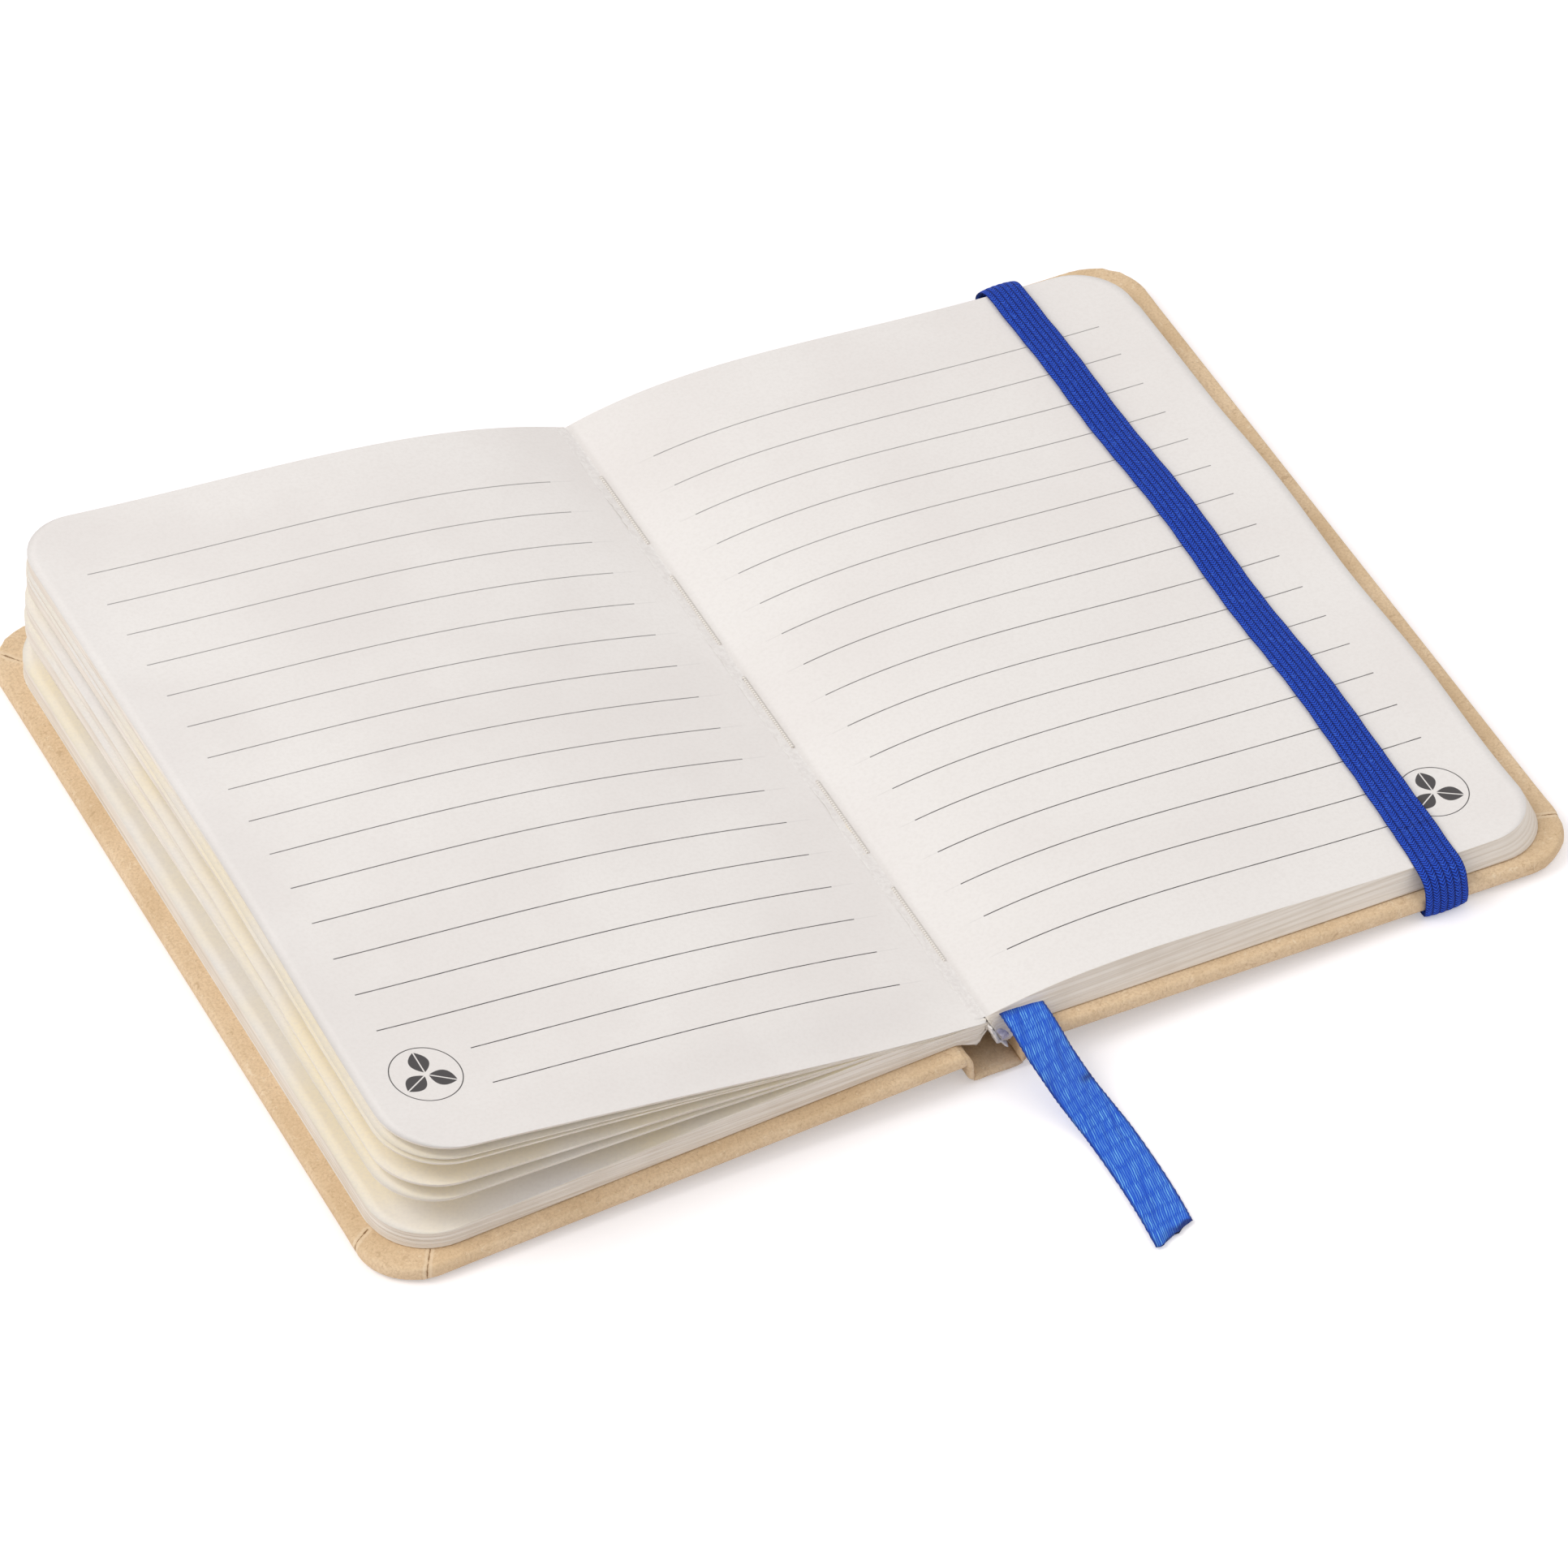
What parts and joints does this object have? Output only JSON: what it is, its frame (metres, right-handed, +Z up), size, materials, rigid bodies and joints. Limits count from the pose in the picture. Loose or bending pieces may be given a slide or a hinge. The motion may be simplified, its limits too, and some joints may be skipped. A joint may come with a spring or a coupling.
{
  "type": "ruled notebook",
  "caption": "Pocket notebook with hard kraft-paper covers, ruled leaves, an elastic band and a ribbon bookmark, lying open with its front half free to close.",
  "frame": {"origin": "on the table, under the middle of the spine, half-way between the head and the tail of the covers", "axes": "+X across the spread from the spine to the back cover's fore-edge, +Y from the tail to the head, +Z up from the table"},
  "size_m": [0.1876, 0.1792, 0.025],
  "materials": {
    "grey_board": "rough grey board",
    "kraft_paper": "matt kraft paper with fine fibres",
    "endpaper": "matt",
    "page_paper": "matt uncoated paper with thin grey rules",
    "lining_gauze": "open cotton gauze stiffened with glue",
    "thread": "fine cotton thread",
    "elastic": "braided elastic with fine ribs",
    "ribbon": "satin weave with a soft shine"
  },
  "bodies": {
    "back_half": {"back_board": "grey_board", "back_cover_paper": "kraft_paper", "back_endpaper": "endpaper", "back_pages": "page_paper", "spine_lining": "lining_gauze", "sewing_thread": "thread", "elastic_band": "elastic", "ribbon_bookmark": "ribbon"},
    "front_half": {"front_board": "grey_board", "front_cover_paper": "kraft_paper", "front_endpaper": "endpaper", "front_pages": "page_paper"},
    "spine": {"spine_stiffener": "grey_board", "spine_cover_paper": "kraft_paper"}
  },
  "joints": [
    {"name": "front_cover_hinge", "type": "hinge", "parent": "back_half", "child": "front_half", "pos_m": [-0.0005, 0, 0.0093], "axis": [0, 1, 0], "range_deg": [0, 158]},
    {"name": "spine_fold", "type": "hinge", "parent": "front_half", "child": "spine", "pos_m": [-0.0039, 0, 0.0011], "axis": [0, 1, 0], "range_deg": [-52.2, 0]}
  ],
  "couplings": [
    {"joint": "spine_fold", "follows": "front_cover_hinge", "ratio": -0.33}
  ]
}
